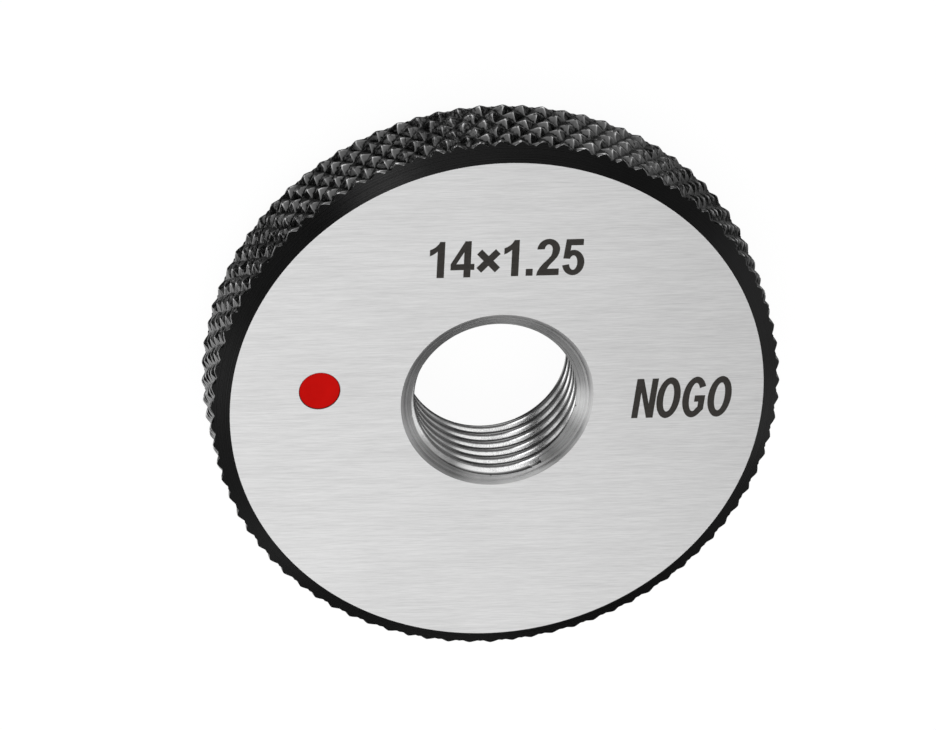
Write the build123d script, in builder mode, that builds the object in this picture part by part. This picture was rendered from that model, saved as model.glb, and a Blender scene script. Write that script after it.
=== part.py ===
"""Thread ring gauge, NOT GO, for 14 x 1.25 metric screws.

A flat ring of hardened steel: diamond knurled rim, bevelled edges, ground faces and a lapped
internal thread with a countersink at each end. A spot of red enamel in the marked face says that
the ring must not screw on.

Lengths are in millimetres and angles in degrees. The ring lies flat: +Z is its axis, the marked
face is on top, and the origin is the centre of the bottom face. The red spot lies towards -X.
"""
from build123d import *
import os
from math import ceil, cos, pi, radians, sin, tan

# Ring blank
outside_diameter = 45.0       # over the tips of the knurl
thickness = 8.0
bevel_width = 1.45            # along the radius, at both edges of the rim
bevel_height = 1.0            # along the axis

# Diamond knurl on the rim
knurl_count = 84              # diamonds in one row round the rim
knurl_depth = 0.5
knurl_angle = 36.0            # between the grooves and the axis

# Thread: its crests are cut short, and its roots are deep enough to clear the crests of the screw
thread_diameter = 14.0        # nominal size of the screw
thread_pitch = 1.25
thread_angle = 60.0           # between the flanks
pitch_diameter_drop = 0.168   # the NOT GO limit lies this far under the basic pitch diameter
crest_height = 0.125          # from the pitch line in to the crest
root_width = 0.05             # flat at the bottom of the groove
thread_start = 255.0          # where the groove crosses the bottom face, turned from +X

# Countersink at both ends of the thread
countersink_margin = 1.2      # on the diameter, beyond the nominal size
countersink_angle = 120.0

# Red spot in the marked face
spot_diameter = 3.2
spot_distance = 14.1          # from the axis
spot_recess = 0.35            # depth of the recess that holds the enamel
enamel_sink = 0.05            # the enamel ends this far below the face
enamel_clearance = 0.02       # all round the enamel

# Worked out from the sizes above
tip_radius = outside_diameter / 2
face_radius = tip_radius - bevel_width
knurl_step_angle = pi / knurl_count
knurl_step_height = tip_radius * knurl_step_angle / tan(radians(knurl_angle))
flank_slope = tan(radians(thread_angle / 2))
basic_pitch_diameter = thread_diameter - 3 / 4 * thread_pitch / (2 * flank_slope)
pitch_radius = (basic_pitch_diameter - pitch_diameter_drop) / 2
crest_radius = pitch_radius - crest_height
root_radius = pitch_radius + (thread_pitch / 2 - root_width) / (2 * flank_slope)
countersink_radius = (thread_diameter + countersink_margin) / 2
countersink_depth = (countersink_radius - crest_radius) / tan(radians(countersink_angle / 2))


def knurl_point(step, level, levels):
    """Corner of the knurl: tips and groove crossings take turns along a row and up the rim."""
    is_tip = (step + level) % 2 == 0
    radius = tip_radius if is_tip else tip_radius - knurl_depth
    angle = step * knurl_step_angle
    height = thickness / 2 + (level - levels / 2) * knurl_step_height
    return Vector(radius * cos(angle), radius * sin(angle), height)


def knurled_bar():
    """Bar longer than the ring is thick, with a staggered field of four-sided points all round."""
    levels = 2 * ceil(thickness / knurl_step_height / 2) + 2
    steps = 2 * knurl_count
    rows = [[knurl_point(step, level, levels) for step in range(steps)] for level in range(levels + 1)]
    faces = [Face(Wire.make_polygon(rows[end])) for end in (0, levels)]
    for level in range(levels):
        for step in range(steps):
            beside = (step + 1) % steps
            low, low_beside = rows[level][step], rows[level][beside]
            high, high_beside = rows[level + 1][step], rows[level + 1][beside]
            if (step + level) % 2 == 0:
                sides = [(low, low_beside, high), (low_beside, high_beside, high)]
            else:
                sides = [(low, low_beside, high_beside), (low, high_beside, high)]
            faces += [Face(Wire.make_polygon(side)) for side in sides]
    return Solid(Shell(faces))


# One turn of the thread's groove: two flanks and a narrow root, open towards the axis
with BuildPart() as thread_turn:
    with BuildLine() as turn_path:
        Helix(thread_pitch, thread_pitch, pitch_radius)
    mouth_radius = crest_radius - crest_height
    mouth_width = thread_pitch / 2 + 2 * (pitch_radius - mouth_radius) * flank_slope
    with BuildSketch(Plane.XZ):
        with BuildLine():
            Polyline(
                (mouth_radius, -mouth_width / 2),
                (root_radius, -root_width / 2),
                (root_radius, root_width / 2),
                (mouth_radius, mouth_width / 2),
                close=True,
            )
        make_face()
    sweep(path=turn_path.wire(), is_frenet=True)

with BuildPart() as ring_body:
    # Turned blank with its bore and countersinks; the bevels run on past the knurl's tips
    with BuildSketch(Plane.XZ):
        with BuildLine():
            Polyline(
                (countersink_radius, 0),
                (face_radius, 0),
                (face_radius + 2 * bevel_width, 2 * bevel_height),
                (face_radius + 2 * bevel_width, thickness - 2 * bevel_height),
                (face_radius, thickness),
                (countersink_radius, thickness),
                (crest_radius, thickness - countersink_depth),
                (crest_radius, countersink_depth),
                close=True,
            )
        make_face()
    revolve(axis=Axis.Z)

    # Thread, turn by turn, from below the bottom face to above the top one
    turn_heights = [thread_pitch * turn for turn in range(-1, ceil(thickness / thread_pitch) + 1)]
    with Locations([Location((0, 0, height), (0, 0, thread_start)) for height in turn_heights]):
        add(thread_turn.part, mode=Mode.SUBTRACT)

    # Recess for the red spot
    with Locations((-spot_distance, 0, thickness)):
        Cylinder(
            spot_diameter / 2,
            spot_recess,
            align=(Align.CENTER, Align.CENTER, Align.MAX),
            mode=Mode.SUBTRACT,
        )

    # Knurl, which runs out on the bevels
    add(knurled_bar(), mode=Mode.INTERSECT)

with BuildPart() as red_spot:
    with Locations((-spot_distance, 0, thickness - spot_recess)):
        Cylinder(
            spot_diameter / 2 - enamel_clearance,
            spot_recess - enamel_sink,
            align=(Align.CENTER, Align.CENTER, Align.MIN),
        )

os.makedirs("parts", exist_ok=True)

ring_body.part.label = "ring_body"
export_step(ring_body.part, "parts/ring_body.step")

red_spot.part.label = "red_spot"
export_step(red_spot.part, "parts/red_spot.step")
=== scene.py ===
"""Looks of a thread ring gauge: knurled black rim, ground faces, bright internal thread, red spot.

The objects are in metres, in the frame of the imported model: the ring lies flat on the floor, +Z is
its axis, the marked face is on top and the red spot lies towards -X. The numbers below are in
millimetres, unless they say otherwise.
"""
from math import ceil, cos, pi, radians, sin, tan

import bpy
import numpy as np
from mathutils import Matrix, Vector
from mathutils.geometry import tessellate_polygon


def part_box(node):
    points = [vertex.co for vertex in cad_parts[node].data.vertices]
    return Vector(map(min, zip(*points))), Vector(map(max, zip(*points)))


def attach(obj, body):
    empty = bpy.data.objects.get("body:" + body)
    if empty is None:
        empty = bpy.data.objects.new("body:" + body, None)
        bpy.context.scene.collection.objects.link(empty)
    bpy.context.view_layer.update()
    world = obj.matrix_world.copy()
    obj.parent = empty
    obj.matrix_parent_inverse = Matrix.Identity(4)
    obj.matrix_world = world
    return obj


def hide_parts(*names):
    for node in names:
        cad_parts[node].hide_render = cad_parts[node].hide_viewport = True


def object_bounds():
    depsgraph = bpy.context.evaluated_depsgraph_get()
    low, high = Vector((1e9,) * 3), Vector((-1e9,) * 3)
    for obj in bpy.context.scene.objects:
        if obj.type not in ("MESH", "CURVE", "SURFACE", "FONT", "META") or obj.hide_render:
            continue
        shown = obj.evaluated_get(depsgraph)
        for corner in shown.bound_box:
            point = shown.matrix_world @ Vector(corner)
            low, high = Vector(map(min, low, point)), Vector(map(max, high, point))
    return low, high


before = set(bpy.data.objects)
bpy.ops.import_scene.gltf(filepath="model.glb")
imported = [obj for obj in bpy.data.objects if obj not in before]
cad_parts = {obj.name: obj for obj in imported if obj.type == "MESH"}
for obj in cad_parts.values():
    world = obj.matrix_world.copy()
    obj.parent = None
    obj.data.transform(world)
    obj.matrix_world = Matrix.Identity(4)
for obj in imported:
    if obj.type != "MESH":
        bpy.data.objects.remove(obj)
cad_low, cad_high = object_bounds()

MM = 0.001
WELD = 1e-8          # metres, corners that are nearer become one

# Ring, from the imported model
TIP_RADIUS = cad_high.x / MM
THICKNESS = cad_high.z / MM
spot_low, spot_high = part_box("red_spot")
SPOT_CENTRE = (spot_low.x + spot_high.x) / 2 / MM
SPOT_RADIUS = (spot_high.x - spot_low.x) / 2 / MM
SPOT_TOP = spot_high.z / MM
SPOT_FLOOR = spot_low.z / MM
RECESS_RADIUS = SPOT_RADIUS + 0.02
RECESS_CHAMFER = 0.04
SPOT_SEGMENTS = 96
SPOT_RINGS = 10
SPOT_SHARP_ANGLE = radians(40)
ENAMEL_SAG = 0.02          # of its middle under its edge

# Rim
BEVEL_WIDTH = 1.45
BEVEL_HEIGHT = 1.0
FACE_RADIUS = TIP_RADIUS - BEVEL_WIDTH
KNURL_COUNT = 84
KNURL_DEPTH = 0.36         # the CAD tips stand 0.5 over sharp grooves
KNURL_ANGLE = radians(36)
KNURL_STEP = pi / KNURL_COUNT
KNURL_STEP_HEIGHT = TIP_RADIUS * KNURL_STEP / tan(KNURL_ANGLE)
KNURL_SHIFT = 0.5          # steps up from the diamonds of the CAD
RING_SHARP_ANGLE = radians(24)

# Thread and countersinks
THREAD_DIAMETER = 14.0
THREAD_PITCH = 1.25
THREAD_START = radians(255)
PITCH_DROP = 0.168         # on the diameter, down to the NOT GO limit
CREST_HEIGHT = 0.125       # from the pitch line in to the crest
ROOT_WIDTH = 0.05
FLANK_SLOPE = tan(radians(30))
PITCH_RADIUS = (THREAD_DIAMETER - 0.75 * THREAD_PITCH / (2 * FLANK_SLOPE) - PITCH_DROP) / 2
CREST_RADIUS = PITCH_RADIUS - CREST_HEIGHT
ROOT_RADIUS = PITCH_RADIUS + (THREAD_PITCH / 2 - ROOT_WIDTH) / (2 * FLANK_SLOPE)
SINK_RADIUS = 7.6
SINK_SLOPE = tan(radians(60))

# Material numbers of the ring, in the order of make_ring
KNURL, BEVEL, FACE, SINK, THREAD, RECESS = range(6)

# Marks on the face, measured along and across their own lines
MARK_TURN = radians(5.0)
BRUSH_TURN = radians(4.8)
MARK_HEIGHT = 0.01         # above the face, and as deep below it
SIZE_MARK_CENTRE = (-0.87, 12.6)
NO_GO_MARK_CENTRE = (14.65, 1.07)
# Signs with the gap before each, as shares of their height
SIZE_MARK = ((0, "1"), (0.17, "4"), (0.08, "x"), (0.12, "1"), (0.20, "."), (0.10, "2"),
             (0.08, "5"))
NO_GO_MARK = ((0, "N"), (0.03, "O"), (0.07, "G"), (0.05, "O"))

# Picture: where the camera stands, in degrees from +X and above the horizon
CAMERA_BEARING = 110.5
CAMERA_ELEVATION = 59.8
PICTURE_UP_BEARING = 97.45
CAMERA_DISTANCE = 1263.0
PICTURE_WIDTH = 936
PICTURE_HEIGHT = 730
PIXELS_PER_MM = 12.79
FACE_CENTRE_PIXEL = (497.2, 400.0)
SENSOR_WIDTH = 36.0
CAMERA_REACH = 100         # metres


# ---------------------------------------------------------------- mesh helpers

class Shell:
    """Collects vertices and triangles of one mesh, each triangle with a material number."""

    def __init__(self):
        self.points = []
        self.triangles = []
        self.materials = []
        self.wear_and_painted_light = []
        self.count = 0

    def add_points(self, points, wear_and_painted_light=0.0):
        points = np.asarray(points, float).reshape(-1, 3)
        self.points.append(points)
        self.wear_and_painted_light.append(np.broadcast_to(np.asarray(wear_and_painted_light, float).ravel(), len(points)))
        first = self.count
        self.count += len(points)
        return first

    def add_triangles(self, triangles, material):
        triangles = np.asarray(triangles, int).reshape(-1, 3)
        self.triangles.append(triangles)
        self.materials.append(np.broadcast_to(np.asarray(material, int), len(triangles)))

    def mesh(self, name, sharp_angle=None):
        points = np.concatenate(self.points) * MM
        triangles = np.concatenate(self.triangles)
        materials = np.concatenate(self.materials)
        wear_and_painted_light = np.concatenate(self.wear_and_painted_light)
        # Corners that coincide become one, and triangles that shrink to nothing go
        _, first, same = np.unique(np.round(points / WELD).astype(np.int64), axis=0,
                                   return_index=True, return_inverse=True)
        triangles = same.reshape(-1)[triangles]
        a, b, c = triangles.T
        whole = (a != b) & (b != c) & (c != a)
        triangles, materials = triangles[whole], materials[whole]
        points, wear_and_painted_light = points[first], wear_and_painted_light[first]
        used, triangles = np.unique(triangles, return_inverse=True)
        triangles = triangles.reshape(-1, 3)
        points, wear_and_painted_light = points[used], wear_and_painted_light[used]
        mesh = bpy.data.meshes.new(name)
        mesh.from_pydata(points.tolist(), [], triangles.tolist())
        mesh.polygons.foreach_set("material_index", materials.astype(np.int32))
        # Mask of wear and painted light and shade, read by the knurl and thread materials
        wear_and_painted_light_layer = mesh.attributes.new("wear_and_painted_light", "FLOAT", "POINT")
        wear_and_painted_light_layer.data.foreach_set("value", wear_and_painted_light.astype(np.float32))
        if sharp_angle is None:
            mesh.shade_flat()
        else:
            mesh.shade_smooth()
            mesh.set_sharp_from_angle(angle=sharp_angle)
        mesh.update()
        return mesh


def new_object(name, mesh, materials):
    piece = bpy.data.objects.new(name, mesh)
    bpy.context.scene.collection.objects.link(piece)
    for material in materials:
        mesh.materials.append(material)
    return piece


def circle(radius, count, height, centre=(0.0, 0.0)):
    angles = np.arange(count) * 2 * pi / count
    return np.stack([centre[0] + radius * np.cos(angles), centre[1] + radius * np.sin(angles),
                     np.full(count, height)], axis=1)


def band(first_low, first_high, count):
    """Triangles between two closed rings of as many points each, seen from outside."""
    i = np.arange(count)
    j = (i + 1) % count
    low, low_next, high, high_next = first_low + i, first_low + j, first_high + i, first_high + j
    return np.concatenate([np.stack([low, low_next, high_next], 1),
                           np.stack([low, high_next, high], 1)])


# ---------------------------------------------------------------- knurled rim

KNURL_FINENESS = 6         # mesh cells in each half diamond
RIM_COLUMNS = 2 * KNURL_COUNT * KNURL_FINENESS
RIDGE_ROUNDING = 0.10      # share of the depth over which ridges are rounded
GROOVE_ROUNDING = 0.06
KNURL_FULLNESS = 1.3       # above 1 the diamonds bulge
TIP_UNEVENNESS = 0.06      # from diamond to diamond
RIDGE_WEAR_AND_HIGHLIGHT_WIDTH = 0.14    # share of a half diamond on each side of a ridge that is rubbed and partly painted as a highlight
RIDGE_WEAR_AND_HIGHLIGHT_LIMIT = 1.35    # above 1 the rubbing and painted highlight go on into the grooves
RUN_OUT_WEAR_AND_HIGHLIGHT = 0.9         # rubbed metal and partly painted highlight where the bevel cuts the knurl
# Shift of the diamonds: size in steps, waves in a turn, radians for each mm up, start
WANDER = ((0.07, 17, 1.9, 0.0), (0.05, 31, -2.7, 1.0), (0.03, 53, 3.3, 2.0))
BEVEL_REACH = 1.2          # most that the bevel goes up or down, in heights of its own
HALVINGS = 40


def scatter(a, b):
    """A number from -1 to 1 that is fixed for each pair of whole numbers."""
    mixed = np.sin(a * 127.1 + b * 311.7) * 43758.5453
    return 2 * (mixed - np.floor(mixed)) - 1


def smooth_max(a, b, width):
    share = np.maximum(width - np.abs(a - b), 0) / width
    return np.maximum(a, b) + share * share * width / 4


def knurl_field(angle, height):
    """Depth under the tips for points of the rim, and a mask of wear and painted light: 0 in the
    grooves, which are painted dark as shade, 1 at the tips, which are rubbed metal and partly a
    painted highlight.
    """
    u = angle / KNURL_STEP
    v = KNURL_SHIFT + (height - THICKNESS / 2) / KNURL_STEP_HEIGHT
    a = (u + v) / 2
    b = (u - v) / 2
    across_a = 2 * np.abs(a - np.round(a))
    across_b = 2 * np.abs(b - np.round(b))
    lowness = smooth_max(across_a, across_b, RIDGE_ROUNDING)
    lowness = 1 - np.sqrt((1 - lowness) ** 2 + GROOVE_ROUNDING ** 2)
    lowness = np.clip(lowness, 0, 1) ** KNURL_FULLNESS
    unevenness = TIP_UNEVENNESS * scatter(np.round(a), np.round(b)) * (1 - lowness)
    depth = KNURL_DEPTH * lowness + np.maximum(unevenness, 0)
    # Ridges: oxide rubbed off, and partly a painted highlight
    ridge = np.clip(1 - np.abs(across_a - across_b) / RIDGE_WEAR_AND_HIGHLIGHT_WIDTH, 0, 1)
    ridge = ridge * np.clip(RIDGE_WEAR_AND_HIGHLIGHT_LIMIT - lowness, 0, 1)
    return depth, 0.5 * (1 - lowness) + 0.5 * ridge


def wander(angle, height):
    """Small shift of the diamonds round the rim, as the knurling wheel left them."""
    return KNURL_STEP * sum(size * np.sin(waves * angle + rise * height + start)
                            for size, waves, rise, start in WANDER)


def bevel_crossing(angles, top):
    """Height at which the bevel runs out in the knurl, for each angle."""
    near = np.zeros_like(angles)
    far = np.full_like(angles, BEVEL_REACH * BEVEL_HEIGHT)
    for _ in range(HALVINGS):
        middle = (near + far) / 2
        height = THICKNESS - middle if top else middle
        depth, _ = knurl_field(angles, height)
        below = FACE_RADIUS + middle * BEVEL_WIDTH / BEVEL_HEIGHT < TIP_RADIUS - depth
        near = np.where(below, middle, near)
        far = np.where(below, far, middle)
    return THICKNESS - near if top else near


def add_rim(shell):
    """Knurl and both bevels."""
    angles = np.arange(RIM_COLUMNS) * KNURL_STEP / KNURL_FINENESS
    low, high = bevel_crossing(angles, False), bevel_crossing(angles, True)
    half_rows = ceil(THICKNESS / 2 / KNURL_STEP_HEIGHT * KNURL_FINENESS)
    starts = []
    for row in range(-half_rows, half_rows + 1):
        level = THICKNESS / 2 + row * KNURL_STEP_HEIGHT / KNURL_FINENESS
        height = np.clip(level, low, high)
        depth, wear_and_painted_light = knurl_field(angles, height)
        radius = TIP_RADIUS - depth
        # Run-out edges: rubbed metal, and partly a painted highlight
        wear_and_painted_light = np.where(height == level, wear_and_painted_light, RUN_OUT_WEAR_AND_HIGHLIGHT)
        turned = angles + wander(angles, height)
        points = np.stack([radius * np.cos(turned), radius * np.sin(turned), height], 1)
        starts.append(shell.add_points(points, wear_and_painted_light))
    i = np.arange(RIM_COLUMNS)
    j = (i + 1) % RIM_COLUMNS
    for row in range(2 * half_rows):
        a, b = starts[row] + i, starts[row] + j
        c, d = starts[row + 1] + j, starts[row + 1] + i
        # The groove of a cell runs along its falling or its rising diagonal
        cell = i // KNURL_FINENESS + (row - half_rows + KNURL_FINENESS // 2) // KNURL_FINENESS
        falling = (cell % 2 == 0)[:, None]
        one = np.where(falling, np.stack([a, b, d], 1), np.stack([a, b, c], 1))
        two = np.where(falling, np.stack([b, c, d], 1), np.stack([a, c, d], 1))
        shell.add_triangles(np.concatenate([one, two]), KNURL)
    for crossing, top in ((low, False), (high, True)):
        depth, _ = knurl_field(angles, crossing)
        outer = TIP_RADIUS - depth
        face_height = THICKNESS if top else 0.0
        previous = starts[-1] if top else starts[0]
        for share in (1 / 3, 2 / 3, 1.0):
            radius = outer + (FACE_RADIUS - outer) * share
            height = crossing + (face_height - crossing) * share
            turned = angles + wander(angles, crossing) * (1 - share)
            points = np.stack([radius * np.cos(turned), radius * np.sin(turned), height], 1)
            start = shell.add_points(points)
            lower, upper = (previous, start) if top else (start, previous)
            shell.add_triangles(band(lower, upper, RIM_COLUMNS), BEVEL)
            previous = start


# ---------------------------------------------------------------- bore

BORE_COLUMNS = 256
FLANK_ROWS = 5
CREST_ROUNDING = 0.16      # lapped edges of the crests
ROOT_SHADE = 0.10          # depth over which a flank darkens to its root
CREST_SHADE = (0.06, 0.10) # height at which a flank turns into its crest, and over how much
# Painted light and shade of the thread: bright flanks, darker crests
FLANK_PAINTED_LIGHT = 0.65
CREST_PAINTED_SHADE = 0.35          # on top of the flank's; it paints the crests darker, as shade
SQUEEZED = 1e-9            # rows that are nearer stay where they are
TOUCHING = 1e-6


def thread_radius(phase):
    """Wall radius of the thread, phase being the height above the middle of its groove."""
    distance = np.abs((phase / THREAD_PITCH + 0.5) % 1 - 0.5) * THREAD_PITCH
    flank = np.minimum(PITCH_RADIUS + (THREAD_PITCH / 4 - distance) / FLANK_SLOPE, ROOT_RADIUS)
    return smooth_max(flank, CREST_RADIUS, CREST_ROUNDING)


def sink_radius(height):
    return SINK_RADIUS - np.minimum(height, THICKNESS - height) * SINK_SLOPE


def add_bore(shell):
    """Thread and countersinks, on rows that climb with the thread."""
    land = THREAD_PITCH / 2 - 2 * (PITCH_RADIUS - CREST_RADIUS) * FLANK_SLOPE
    flank_to = THREAD_PITCH / 2 - land / 2
    edge = CREST_ROUNDING * FLANK_SLOPE
    rising = list(np.linspace(ROOT_WIDTH / 2, flank_to - edge, FLANK_ROWS))
    rising += [flank_to - edge / 2, flank_to, flank_to + edge / 2, flank_to + edge]
    marks = rising + [THREAD_PITCH / 2] + [THREAD_PITCH - mark for mark in rising[::-1]]
    turns = np.arange(-2, ceil(THICKNESS / THREAD_PITCH) + 2)
    levels = (turns[:, None] * THREAD_PITCH + np.array(marks)).ravel()
    angles = np.arange(BORE_COLUMNS + 1) * 2 * pi / BORE_COLUMNS
    climb = THREAD_PITCH * (angles - THREAD_START) / (2 * pi)
    height = np.clip(levels[:, None] + climb[None, :], 0, THICKNESS)
    # Rows next to the line where thread and countersink meet move on to it
    excess = thread_radius(height - climb[None, :]) - sink_radius(height)
    for row in range(len(levels) - 1):
        here, there = excess[row], excess[row + 1]
        gap = height[row + 1] - height[row]
        crosses = (here * there < 0) & (gap > SQUEEZED)
        share = np.where(crosses, here / np.where(crosses, here - there, 1), 0)
        meeting = height[row] + share * gap
        nearer = share < 0.5
        height[row] = np.where(crosses & nearer, meeting, height[row])
        height[row + 1] = np.where(crosses & ~nearer, meeting, height[row + 1])
    thread = thread_radius(height - climb[None, :])
    sink = sink_radius(height)
    radius = np.maximum(thread, sink)
    # Mask of painted light and shade: dark at the roots, bright on the flanks, darker on the crests
    crest = np.clip(1 - (thread - CREST_RADIUS - CREST_SHADE[0]) / CREST_SHADE[1], 0, 1)
    flank = np.clip((ROOT_RADIUS - ROOT_SHADE - thread) / ROOT_SHADE, 0, 1)
    wear_and_painted_light = FLANK_PAINTED_LIGHT * flank + CREST_PAINTED_SHADE * crest
    points = np.stack([radius * np.cos(angles), radius * np.sin(angles), height], 2)
    first = shell.add_points(points, wear_and_painted_light)
    rows, columns = radius.shape
    index = first + np.arange(rows * columns).reshape(rows, columns)
    a, b = index[:-1, :-1].ravel(), index[:-1, 1:].ravel()
    c, d = index[1:, 1:].ravel(), index[1:, :-1].ravel()
    in_sink = sink - thread > -TOUCHING
    sunk = (in_sink[:-1, :-1] & in_sink[:-1, 1:] & in_sink[1:, 1:] & in_sink[1:, :-1]).ravel()
    material = np.where(sunk, SINK, THREAD)
    for corners in ([a, c, b], [a, d, c]):
        shell.add_triangles(np.stack(corners, 1), material)


# ---------------------------------------------------------------- flat faces and recess

def add_flat(shell, rings, material, up):
    """Flat face between an outer ring and holes, each a list of points."""
    loops = [[Vector(point) for point in ring] for ring in rings]
    points = np.concatenate(rings)
    first = shell.add_points(points)
    triangles = np.array(tessellate_polygon(loops))
    a, b, c = (points[triangles[:, k]] for k in range(3))
    turn = np.cross(b - a, c - a)[:, 2]
    wrong = (turn < 0) if up else (turn > 0)
    triangles[wrong] = triangles[wrong][:, ::-1]
    shell.add_triangles(triangles + first, material)


def ring_mesh():
    shell = Shell()
    add_rim(shell)
    add_bore(shell)
    bore_bottom = circle(SINK_RADIUS, BORE_COLUMNS, 0.0)
    bore_top = circle(SINK_RADIUS, BORE_COLUMNS, THICKNESS)
    # Recess of the spot, with a small chamfer round its mouth
    spot_place = (SPOT_CENTRE, 0.0)
    mouth = circle(RECESS_RADIUS + RECESS_CHAMFER, SPOT_SEGMENTS, THICKNESS, spot_place)
    wall_top = circle(RECESS_RADIUS, SPOT_SEGMENTS, THICKNESS - RECESS_CHAMFER, spot_place)
    wall_bottom = circle(RECESS_RADIUS, SPOT_SEGMENTS, SPOT_FLOOR, spot_place)
    add_flat(shell, [circle(FACE_RADIUS, RIM_COLUMNS, 0.0), bore_bottom], FACE, False)
    add_flat(shell, [circle(FACE_RADIUS, RIM_COLUMNS, THICKNESS), bore_top, mouth], FACE, True)
    for above, below in ((mouth, wall_top), (wall_top, wall_bottom)):
        first_above, first_below = shell.add_points(above), shell.add_points(below)
        shell.add_triangles(band(first_above, first_below, SPOT_SEGMENTS), RECESS)
    add_flat(shell, [wall_bottom], RECESS, True)
    return shell.mesh("ring_gauge_body", RING_SHARP_ANGLE)


# ---------------------------------------------------------------- materials

class Nodes:
    """Short names for building a node tree."""

    def __init__(self, owner):
        self.tree = owner.node_tree
        self.nodes = self.tree.nodes

    def link(self, output, socket):
        self.tree.links.new(output, socket)

    def mapping(self, vector, scale, turn=0.0):
        """Coordinates along a turned frame, stretched by each scale."""
        node = self.nodes.new("ShaderNodeMapping")
        node.vector_type = "TEXTURE"
        node.inputs["Rotation"].default_value = (0, 0, turn)
        node.inputs["Scale"].default_value = [1 / number for number in scale]
        self.link(vector, node.inputs["Vector"])
        return node.outputs["Vector"]

    def noise(self, vector, scale, detail, roughness):
        node = self.nodes.new("ShaderNodeTexNoise")
        node.inputs["Scale"].default_value = scale
        node.inputs["Detail"].default_value = detail
        node.inputs["Roughness"].default_value = roughness
        self.link(vector, node.inputs["Vector"])
        return node.outputs["Fac"]

    def rings(self, place, scale):
        """Noise that depends only on the distance from the axis and the height."""
        split = self.nodes.new("ShaderNodeSeparateXYZ")
        self.link(place, split.inputs["Vector"])
        x, y, z = split.outputs
        away = self.math("ADD", self.math("MULTIPLY", x, x), self.math("MULTIPLY", y, y))
        away = self.math("SQRT", away)
        noise = self.nodes.new("ShaderNodeTexNoise")
        noise.noise_dimensions = "1D"
        noise.inputs["Scale"].default_value = scale
        noise.inputs["Detail"].default_value = 2.0
        self.link(self.math("SUBTRACT", away, z), noise.inputs["W"])
        return noise.outputs["Fac"]

    def math(self, operation, one, two=None, clamp=False):
        node = self.nodes.new("ShaderNodeMath")
        node.operation = operation
        node.use_clamp = clamp
        for socket, value in zip(node.inputs, (one, two)):
            if value is None:
                continue
            if isinstance(value, (int, float)):
                socket.default_value = value
            else:
                self.link(value, socket)
        return node.outputs[0]

    def weigh(self, *parts):
        """Sum of values, each times its share."""
        total, *others = [self.math("MULTIPLY", value, share) for value, share in parts]
        for other in others:
            total = self.math("ADD", total, other)
        return total

    def spread(self, value, from_low, from_high, to_low, to_high):
        node = self.nodes.new("ShaderNodeMapRange")
        self.link(value, node.inputs["Value"])
        for name, number in (("From Min", from_low), ("From Max", from_high),
                             ("To Min", to_low), ("To Max", to_high)):
            node.inputs[name].default_value = number
        return node.outputs["Result"]

    def vary(self, noise, low, high):
        """Noise as a number between two others, 0.3 to 0.7 being where most of it lies."""
        return self.spread(noise, 0.3, 0.7, low, high)

    def colours(self, value, *stops):
        node = self.nodes.new("ShaderNodeValToRGB")
        elements = node.color_ramp.elements
        while len(elements) < len(stops):
            elements.new(0.5)
        for element, (position, colour) in zip(elements, stops):
            element.position = position
            element.color = (*colour, 1)
        self.link(value, node.inputs["Fac"])
        return node.outputs["Color"]

    def wear_and_painted_light(self):
        # The mesh's mask of wear and painted light and shade
        node = self.nodes.new("ShaderNodeAttribute")
        node.attribute_name = "wear_and_painted_light"
        return node.outputs["Fac"]

    def bump(self, height, distance, strength):
        node = self.nodes.new("ShaderNodeBump")
        node.inputs["Strength"].default_value = strength
        node.inputs["Distance"].default_value = distance
        self.link(height, node.inputs["Height"])
        return node.outputs["Normal"]


def grey(value):
    return (value, value, value)


def new_material(name):
    """A material, the inputs of its shader, its nodes, and the place of a point on the piece."""
    material = bpy.data.materials.new(name)
    material.use_nodes = True
    n = Nodes(material)
    n.nodes.clear()
    output = n.nodes.new("ShaderNodeOutputMaterial")
    shader = n.nodes.new("ShaderNodeBsdfPrincipled")
    n.link(shader.outputs["BSDF"], output.inputs["Surface"])
    place = n.nodes.new("ShaderNodeTexCoord").outputs["Object"]
    return material, shader.inputs, n, place


def ground_steel():
    """Ground and brushed face: short fine streaks in one direction, a little uneven."""
    material, shader, n, place = new_material("ground_steel")
    along_fine = n.mapping(place, (650, 11000, 650), BRUSH_TURN)
    fine = n.noise(along_fine, scale=1.0, detail=3.0, roughness=0.6)
    along_streaks = n.mapping(place, (200, 5000, 200), BRUSH_TURN)
    streaks = n.noise(along_streaks, scale=1.0, detail=3.0, roughness=0.6)
    clouds = n.noise(place, scale=60.0, detail=2.0, roughness=0.5)
    mixed = n.weigh((fine, 0.5), (streaks, 0.35), (clouds, 0.15))
    n.link(n.colours(mixed, (0.30, grey(0.545)), (0.70, grey(0.80))), shader["Base Color"])
    n.link(n.vary(fine, 0.32, 0.40), shader["Roughness"])
    n.link(n.bump(fine, distance=0.000003, strength=0.4), shader["Normal"])
    shader["Metallic"].default_value = 1.0
    return material


def black_oxide_bevel():
    """Turned bevel under black oxide: dark satin with turning marks."""
    material, shader, n, place = new_material("black_oxide_bevel")
    lines = n.rings(place, 9000.0)
    mottle = n.noise(place, scale=900.0, detail=4.0, roughness=0.6)
    clouds = n.noise(place, scale=120.0, detail=2.0, roughness=0.5)
    mixed = n.weigh((mottle, 0.3), (clouds, 0.3), (lines, 0.4))
    n.link(n.colours(mixed, (0.3, grey(0.0006)), (0.7, grey(0.004))), shader["Base Color"])
    n.link(n.vary(lines, 0.20, 0.32), shader["Roughness"])
    uneven = n.math("ADD", lines, n.math("MULTIPLY", mottle, 0.5))
    n.link(n.bump(uneven, distance=0.000012, strength=0.6), shader["Normal"])
    shader["Specular IOR Level"].default_value = 0.22
    return material


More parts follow.
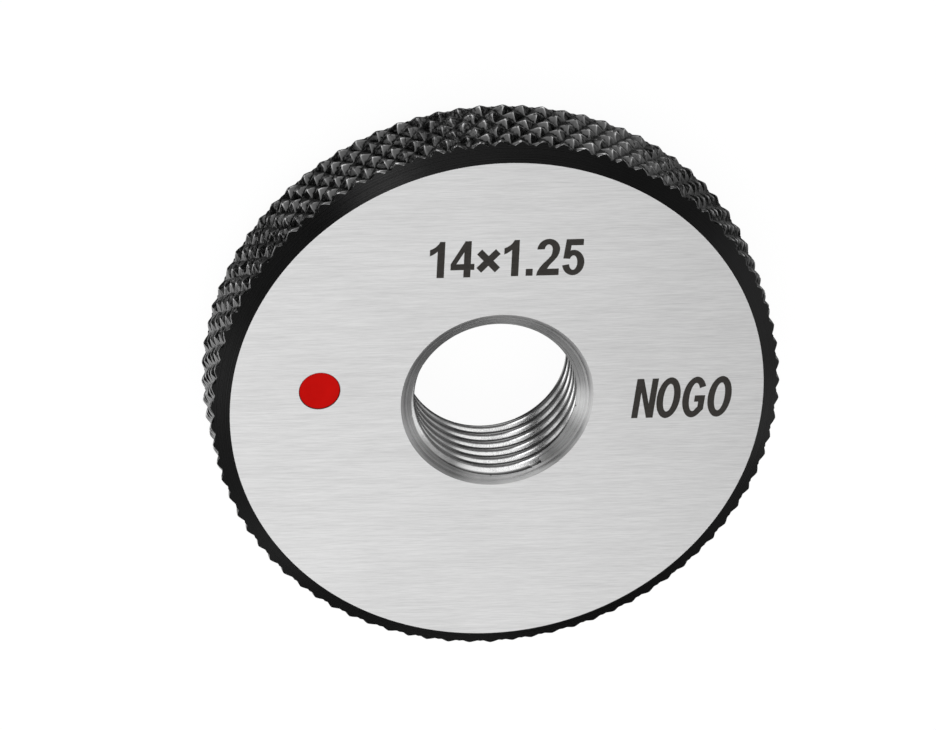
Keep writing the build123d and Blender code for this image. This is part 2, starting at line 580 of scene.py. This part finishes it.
def black_oxide_knurl():
    """Pressed diamonds under black oxide, rubbed to bare metal along their ridges; the blackest
    grooves are painted shade, and the bright ridges and tips are partly a painted highlight.
    """
    material, shader, n, place = new_material("black_oxide_knurl")
    mottle = n.noise(place, scale=2200.0, detail=4.0, roughness=0.6)
    along_streaks = n.mapping(place, (5000, 5000, 900))
    streaks = n.noise(along_streaks, scale=1.0, detail=2.0, roughness=0.6)
    dents = n.noise(place, scale=900.0, detail=2.0, roughness=0.5)
    clouds = n.noise(place, scale=300.0, detail=2.0, roughness=0.5)
    worn_and_painted_light = n.math("MULTIPLY", n.wear_and_painted_light(), n.vary(clouds, 0.75, 1.1), clamp=True)
    for noise, share in ((streaks, 0.30), (mottle, 0.25)):
        either_way = n.math("MULTIPLY", n.math("SUBTRACT", noise, 0.5), share)
        worn_and_painted_light = n.math("ADD", worn_and_painted_light, either_way, clamp=True)
    # Near-black grooves are painted shade; the bright top of the ramp is rubbed metal and partly a
    # painted highlight
    n.link(n.colours(worn_and_painted_light, (0.03, grey(0.003)), (0.11, grey(0.09)), (0.48, grey(0.15)),
                     (0.74, grey(0.34)), (0.95, grey(0.95))), shader["Base Color"])
    n.link(n.vary(mottle, 0.10, 0.17), shader["Roughness"])
    uneven = n.math("ADD", dents, n.math("MULTIPLY", streaks, 0.15))
    uneven = n.math("ADD", n.math("MULTIPLY", mottle, 0.25), uneven)
    n.link(n.bump(uneven, distance=0.0002, strength=0.7), shader["Normal"])
    shader["Metallic"].default_value = 1.0
    return material


def turned_steel():
    """Turned countersink: rings round the axis."""
    material, shader, n, place = new_material("turned_steel")
    lines = n.rings(place, 8000.0)
    clouds = n.noise(place, scale=500.0, detail=3.0, roughness=0.6)
    mixed = n.weigh((lines, 0.75), (clouds, 0.25))
    n.link(n.colours(mixed, (0.32, grey(0.26)), (0.68, grey(0.58))), shader["Base Color"])
    n.link(n.vary(lines, 0.20, 0.38), shader["Roughness"])
    n.link(n.bump(lines, distance=0.000014, strength=0.9), shader["Normal"])
    shader["Metallic"].default_value = 1.0
    return material


def thread_steel():
    """Lapped thread: fine streaks along the axis; its bright flanks, duller crests and dark roots
    are painted light and shade.
    """
    material, shader, n, place = new_material("thread_steel")
    along_streaks = n.mapping(place, (9000, 9000, 900))
    streaks = n.noise(along_streaks, scale=1.0, detail=3.0, roughness=0.6)
    clouds = n.noise(place, scale=420.0, detail=2.0, roughness=0.5)
    shade = n.spread(n.weigh((streaks, 0.5), (clouds, 0.5)), 0.35, 0.65, 0.85, 1.15)
    shade = n.math("MULTIPLY", shade, n.wear_and_painted_light(), clamp=True)
    # Painted light and shade: dark roots, bright flanks, darker crests
    n.link(n.colours(shade, (0.0, grey(0.02)), (0.25, grey(0.30)), (0.62, grey(0.97)),
                     (0.90, grey(0.36))), shader["Base Color"])
    n.link(n.vary(streaks, 0.14, 0.24), shader["Roughness"])
    n.link(n.bump(streaks, distance=0.000003, strength=0.4), shader["Normal"])
    shader["Metallic"].default_value = 1.0
    return material


def recess_steel():
    """Drilled recess round the enamel, coloured a dark reddish brown."""
    material, shader, n, place = new_material("recess_steel")
    mottle = n.noise(place, scale=2500.0, detail=3.0, roughness=0.6)
    n.link(n.colours(mottle, (0.3, (0.03, 0.010, 0.008)), (0.7, (0.07, 0.022, 0.018))),
           shader["Base Color"])
    shader["Metallic"].default_value = 0.4
    shader["Roughness"].default_value = 0.5
    return material


def red_enamel():
    """Poured enamel, smooth with a trace of unevenness."""
    material, shader, n, place = new_material("red_enamel")
    clouds = n.noise(place, scale=700.0, detail=3.0, roughness=0.5)
    n.link(n.colours(clouds, (0.3, (0.52, 0.002, 0.0008)), (0.7, (0.58, 0.003, 0.0015))),
           shader["Base Color"])
    n.link(n.vary(clouds, 0.3, 0.36), shader["Roughness"])
    n.link(n.bump(clouds, distance=0.00001, strength=0.4), shader["Normal"])
    shader["Specular IOR Level"].default_value = 0.025
    return material


def laser_mark():
    """Dark laser marking with the fine lines of the face in it."""
    material, shader, n, place = new_material("laser_mark")
    along_streaks = n.mapping(place, (200, 6000, 200), BRUSH_TURN)
    streaks = n.noise(along_streaks, scale=1.0, detail=3.0, roughness=0.6)
    grain = n.noise(place, scale=4000.0, detail=2.0, roughness=0.6)
    mixed = n.weigh((streaks, 0.5), (grain, 0.5))
    n.link(n.colours(mixed, (0.3, (0.024, 0.021, 0.018)), (0.7, (0.042, 0.038, 0.034))),
           shader["Base Color"])
    shader["Roughness"].default_value = 0.6
    shader["Specular IOR Level"].default_value = 0.2
    return material


# ---------------------------------------------------------------- pieces

def make_ring():
    materials = [black_oxide_knurl(), black_oxide_bevel(), ground_steel(), turned_steel(),
                 thread_steel(), recess_steel()]
    ring = new_object("ring_gauge_body", ring_mesh(), materials)
    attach(ring, "root")
    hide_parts("ring_body")


def make_spot():
    """Enamel that climbs a little at its rim."""
    shell = Shell()
    starts = []
    for ring in range(1, SPOT_RINGS + 1):
        share = ring / SPOT_RINGS
        height = SPOT_TOP - ENAMEL_SAG + ENAMEL_SAG * share ** 4
        points = circle(SPOT_RADIUS * share, SPOT_SEGMENTS, height, (SPOT_CENTRE, 0.0))
        starts.append(shell.add_points(points))
    bottom = shell.add_points(circle(SPOT_RADIUS, SPOT_SEGMENTS, SPOT_FLOOR, (SPOT_CENTRE, 0.0)))
    middle = shell.add_points([(SPOT_CENTRE, 0.0, SPOT_TOP - ENAMEL_SAG)])
    bottom_middle = shell.add_points([(SPOT_CENTRE, 0.0, SPOT_FLOOR)])
    for inner, outer in zip(starts, starts[1:]):
        shell.add_triangles(band(outer, inner, SPOT_SEGMENTS), 0)
    shell.add_triangles(band(bottom, starts[-1], SPOT_SEGMENTS), 0)
    for i in range(SPOT_SEGMENTS):
        j = (i + 1) % SPOT_SEGMENTS
        shell.add_triangles([(middle, starts[0] + i, starts[0] + j)], 0)
        shell.add_triangles([(bottom_middle, bottom + j, bottom + i)], 0)
    mesh = shell.mesh("red_enamel_spot", SPOT_SHARP_ANGLE)
    spot = new_object("red_enamel_spot", mesh, [red_enamel()])
    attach(spot, "root")
    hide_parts("red_spot")


# ---------------------------------------------------------------- marks on the face

def arc(centre, radii, start, end, steps=20):
    """Points of an ellipse between two angles in degrees."""
    turns = np.radians(np.linspace(start, end, steps + 1))
    return [(centre[0] + radii[0] * cos(t), centre[1] + radii[1] * sin(t)) for t in turns]


def cross_sign(centre, reach, half_width):
    """Two bars that cross at right angles."""
    corners = ((half_width, -half_width), (reach, -half_width), (reach, half_width))
    plus = []
    for quarter in range(4):
        c, q = cos(quarter * pi / 2 + pi / 4), sin(quarter * pi / 2 + pi / 4)
        for along, across in corners:
            plus.append((centre[0] + along * c - across * q, centre[1] + along * q + across * c))
    return plus


def outlines():
    """Bold narrow signs of height 1: width, outline and holes of each."""
    one = [(0.21, 0), (0.41, 0), (0.41, 1), (0.27, 1), (0.23, 0.93), (0.16, 0.86), (0.08, 0.81),
           (0, 0.78), (0, 0.61), (0.08, 0.64), (0.15, 0.685), (0.21, 0.735)]
    two = (arc((0.31, 0.71), (0.31, 0.30), 178, 0)
           + [(0.60, 0.60), (0.55, 0.50), (0.46, 0.395), (0.35, 0.28), (0.285, 0.18), (0.61, 0.18),
              (0.61, 0), (0, 0), (0.02, 0.10), (0.08, 0.21), (0.17, 0.32), (0.30, 0.445),
              (0.375, 0.53), (0.41, 0.61), (0.415, 0.69)]
           + arc((0.31, 0.71), (0.108, 0.145), 0, 174))
    four = [(0.36, 0), (0.55, 0), (0.55, 0.205), (0.65, 0.205), (0.65, 0.37), (0.55, 0.37),
            (0.55, 1), (0.38, 1), (0, 0.37), (0, 0.205), (0.36, 0.205)]
    four_hole = [(0.36, 0.37), (0.36, 0.70), (0.155, 0.37)]
    five = ([(0.03, 0.455), (0.10, 0.985), (0.57, 0.985), (0.57, 0.815), (0.24, 0.815),
             (0.217, 0.652)]
            + arc((0.305, 0.335), (0.305, 0.35), 103, -168, 32)
            + arc((0.305, 0.335), (0.112, 0.20), -168, 148, 32))
    dot = [(0, 0), (0.19, 0), (0.19, 0.19), (0, 0.19)]
    letter_n = [(0, 0), (0.185, 0), (0.185, 0.65), (0.44, 0), (0.64, 0), (0.64, 1), (0.455, 1),
                (0.455, 0.36), (0.20, 1), (0, 1)]
    letter_o = arc((0.35, 0.5), (0.35, 0.52), 0, 360, 40)[:-1]
    letter_o_hole = arc((0.35, 0.5), (0.15, 0.355), 0, 360, 40)[:-1]
    letter_g = (arc((0.35, 0.5), (0.35, 0.52), 32, 306, 36)
                + [(0.665, 0.185), (0.665, 0.54), (0.36, 0.54), (0.36, 0.38),
                   (0.485, 0.38), (0.485, 0.245)]
                + arc((0.35, 0.5), (0.15, 0.36), 306, 38, 32))
    times = cross_sign((0.30, 0.44), 0.36, 0.095)
    return {"1": (0.41, one, []), "2": (0.61, two, []), "4": (0.65, four, [four_hole]),
            "5": (0.61, five, []), ".": (0.19, dot, []), "x": (0.60, times, []),
            "N": (0.64, letter_n, []), "O": (0.70, letter_o, [letter_o_hole]),
            "G": (0.70, letter_g, [])}


def make_mark(name, signs, centre, height, narrowing, slant):
    """Signs with the gap before each, centred on a point of the face, as thin closed plates."""
    shapes = outlines()
    length = sum(gap + shapes[sign][0] for gap, sign in signs)
    edge_height = THICKNESS + MARK_HEIGHT
    turn = np.array([[cos(MARK_TURN), sin(MARK_TURN)], [-sin(MARK_TURN), cos(MARK_TURN)]])
    shell = Shell()
    cursor = -length / 2
    for gap, sign in signs:
        width, outline, holes = shapes[sign]
        cursor += gap
        rings = []
        for ring in [outline] + holes:
            ring = np.array(ring, float)
            across = narrowing * (cursor + ring[:, 0]) + slant * (ring[:, 1] - 0.5)
            local = np.stack([across, ring[:, 1] - 0.5], 1)
            flat = local * height @ turn + centre
            rings.append(np.column_stack([flat, np.full(len(flat), edge_height)]))
        add_flat(shell, rings, 0, True)
        sunk = [ring - (0, 0, 2 * MARK_HEIGHT) for ring in rings]
        add_flat(shell, sunk, 0, False)
        for number, (top, bottom) in enumerate(zip(rings, sunk)):
            area = np.sum(top[:, 0] * np.roll(top[:, 1], -1) - top[:, 1] * np.roll(top[:, 0], -1))
            ends = [shell.add_points(bottom), shell.add_points(top)]
            if (area > 0) != (number == 0):
                ends.reverse()
            shell.add_triangles(band(*ends, len(top)), 0)
        cursor += width
    mark = new_object(name, shell.mesh(name), [laser_mark()])
    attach(mark, "root")


# ---------------------------------------------------------------- stage

FLOOR_HALF_WIDTH = 3.0     # metres
FLOOR_DROP = 0.00002       # metres under the ring, so that the two don't share a plane
FLOOR_GREY = 0.08
FLOOR_GLOW = 0.95          # to the camera alone


def make_floor():
    """Pale floor, white to the camera. Metal sees the lower half of the studio in its place."""
    mesh = bpy.data.meshes.new("floor")
    square = ((-1, -1), (1, -1), (1, 1), (-1, 1))
    corners = [(FLOOR_HALF_WIDTH * x, FLOOR_HALF_WIDTH * y, 0) for x, y in square]
    mesh.from_pydata(corners, [], [(0, 1, 2, 3)])
    floor = bpy.data.objects.new("floor", mesh)
    floor.location.z = -FLOOR_DROP
    bpy.context.scene.collection.objects.link(floor)
    material = bpy.data.materials.new("floor")
    material.use_nodes = True
    n = Nodes(material)
    n.nodes.clear()
    output = n.nodes.new("ShaderNodeOutputMaterial")
    diffuse = n.nodes.new("ShaderNodeBsdfDiffuse")
    glow = n.nodes.new("ShaderNodeEmission")
    both = n.nodes.new("ShaderNodeAddShader")
    path = n.nodes.new("ShaderNodeLightPath")
    diffuse.inputs["Color"].default_value = (*grey(FLOOR_GREY), 1)
    n.link(n.math("MULTIPLY", path.outputs["Is Camera Ray"], FLOOR_GLOW), glow.inputs["Strength"])
    n.link(diffuse.outputs[0], both.inputs[0])
    n.link(glow.outputs[0], both.inputs[1])
    n.link(both.outputs[0], output.inputs["Surface"])
    mesh.materials.append(material)
    floor.visible_glossy = False


def aim(bearing, elevation):
    bearing, elevation = radians(bearing), radians(elevation)
    return Vector((cos(bearing) * cos(elevation), sin(bearing) * cos(elevation), sin(elevation)))


# What metal sees of the studio: bearing, elevation, inner and outer radius in degrees, brightness
STUDIO = ((216, 40, 5, 16, 2.45), (320, 12, 8, 28, 0.3), (358, 20, 12, 24, 1.0),
          (333, 3, 4, 13, 1.25), (130, 46, 5, 11, 4.4), (95, 63, 13, 20, 1.25),
          (60, 57, 5, 14, 1.15), (20, 42, 6, 20, 0.45), (180, 54, 3, 12, 1.05),
          (280, 9, 5, 15, 0.85), (248, 4, 4, 12, 0.75), (103, -23, 25, 33, 1.2),
          (165, -20, 6, 18, 0.8), (60, 5, 10, 26, 0.6), (100, 5, 10, 26, 0.6),
          (140, 8, 10, 26, 0.6), (180, 5, 10, 26, 0.5), (20, 4, 10, 24, 0.5),
          (236, -48, 12, 25, 0.9), (270, -54, 8, 20, 0.7), (78, -31, 8, 18, 0.8),
          (10, -44, 14, 26, 0.45), (110, 88, 8, 24, 0.75))
# The same in bands: height of the direction, inner and outer half width, brightness
STUDIO_BANDS = ((0.35, 0.25, 0.40, 0.38), (-0.95, 0.10, 0.14, 0.14))
STUDIO_DARK = 0.03
MATT_LIGHT = 0.9           # even, for matt surfaces
# Key light, in degrees and metres
KEY_BEARING = 290
KEY_ELEVATION = 60
KEY_DISTANCE = 0.35
KEY_SIZE = 0.34
KEY_SIDEWAYS = -0.125
KEY_RADIANCE = 1.22


def make_world():
    """White to the camera, an even light for matt surfaces, and soft panels for metal."""
    world = bpy.data.worlds.new("studio")
    bpy.context.scene.world = world
    world.use_nodes = True
    n = Nodes(world)
    n.nodes.clear()
    output = n.nodes.new("ShaderNodeOutputWorld")
    background = n.nodes.new("ShaderNodeBackground")
    path = n.nodes.new("ShaderNodeLightPath")
    direction = n.nodes.new("ShaderNodeTexCoord").outputs["Generated"]
    split = n.nodes.new("ShaderNodeSeparateXYZ")
    n.link(direction, split.inputs["Vector"])
    total = STUDIO_DARK
    for height, inner, outer, brightness in STUDIO_BANDS:
        apart = n.math("ABSOLUTE", n.math("SUBTRACT", split.outputs["Z"], height))
        total = n.math("MAXIMUM", n.spread(apart, inner, outer, brightness, 0.0), total)
    for bearing, elevation, inner, outer, brightness in STUDIO:
        towards = n.nodes.new("ShaderNodeVectorMath")
        towards.operation = "DOT_PRODUCT"
        n.link(direction, towards.inputs[0])
        towards.inputs[1].default_value = aim(bearing, elevation)
        panel = n.spread(towards.outputs["Value"], cos(radians(outer)), cos(radians(inner)),
                         0.0, brightness)
        total = n.math("MAXIMUM", total, panel)
    metal = n.math("MULTIPLY", total, path.outputs["Is Glossy Ray"])
    matt = n.math("MULTIPLY", path.outputs["Is Diffuse Ray"], MATT_LIGHT)
    light = n.math("ADD", n.math("ADD", metal, matt), path.outputs["Is Camera Ray"])
    n.link(light, background.inputs["Strength"])
    n.link(background.outputs[0], output.inputs["Surface"])


def make_key():
    """Square softbox that the marked face mirrors, as bright as its radiance says."""
    direction = aim(KEY_BEARING, KEY_ELEVATION)
    data = bpy.data.lights.new("key", "AREA")
    data.shape = "SQUARE"
    data.size = KEY_SIZE
    data.energy = KEY_RADIANCE * pi * KEY_SIZE * KEY_SIZE
    lamp = bpy.data.objects.new("key", data)
    side = Vector((0, 0, 1)).cross(direction).normalized()
    lamp.location = direction * KEY_DISTANCE + side * KEY_SIDEWAYS
    lamp.rotation_mode = "QUATERNION"
    lamp.rotation_quaternion = direction.to_track_quat("Z", "Y")
    bpy.context.scene.collection.objects.link(lamp)


def make_camera():
    away = aim(CAMERA_BEARING, CAMERA_ELEVATION)
    hint = aim(PICTURE_UP_BEARING, 0)
    up = (hint - away * hint.dot(away)).normalized()
    right = up.cross(away)
    off_right = (FACE_CENTRE_PIXEL[0] - PICTURE_WIDTH / 2) / PIXELS_PER_MM
    off_down = (FACE_CENTRE_PIXEL[1] - PICTURE_HEIGHT / 2) / PIXELS_PER_MM
    place = Vector((0, 0, THICKNESS)) + away * CAMERA_DISTANCE - right * off_right + up * off_down
    data = bpy.data.cameras.new("camera")
    data.sensor_width = SENSOR_WIDTH
    data.lens = PIXELS_PER_MM * CAMERA_DISTANCE * SENSOR_WIDTH / PICTURE_WIDTH
    data.clip_end = CAMERA_REACH
    camera = bpy.data.objects.new("camera", data)
    camera.matrix_world = Matrix((right, up, away)).transposed().to_4x4()
    camera.location = place * MM
    bpy.context.scene.collection.objects.link(camera)
    bpy.context.scene.camera = camera


bpy.context.scene.view_settings.view_transform = "Standard"

make_ring()
make_spot()
make_mark("size_marks", SIZE_MARK, SIZE_MARK_CENTRE, height=3.2, narrowing=0.90, slant=0.0)
make_mark("no_go_mark", NO_GO_MARK, NO_GO_MARK_CENTRE, height=3.5, narrowing=0.76, slant=0.10)
make_floor()
make_world()
make_camera()
make_key()
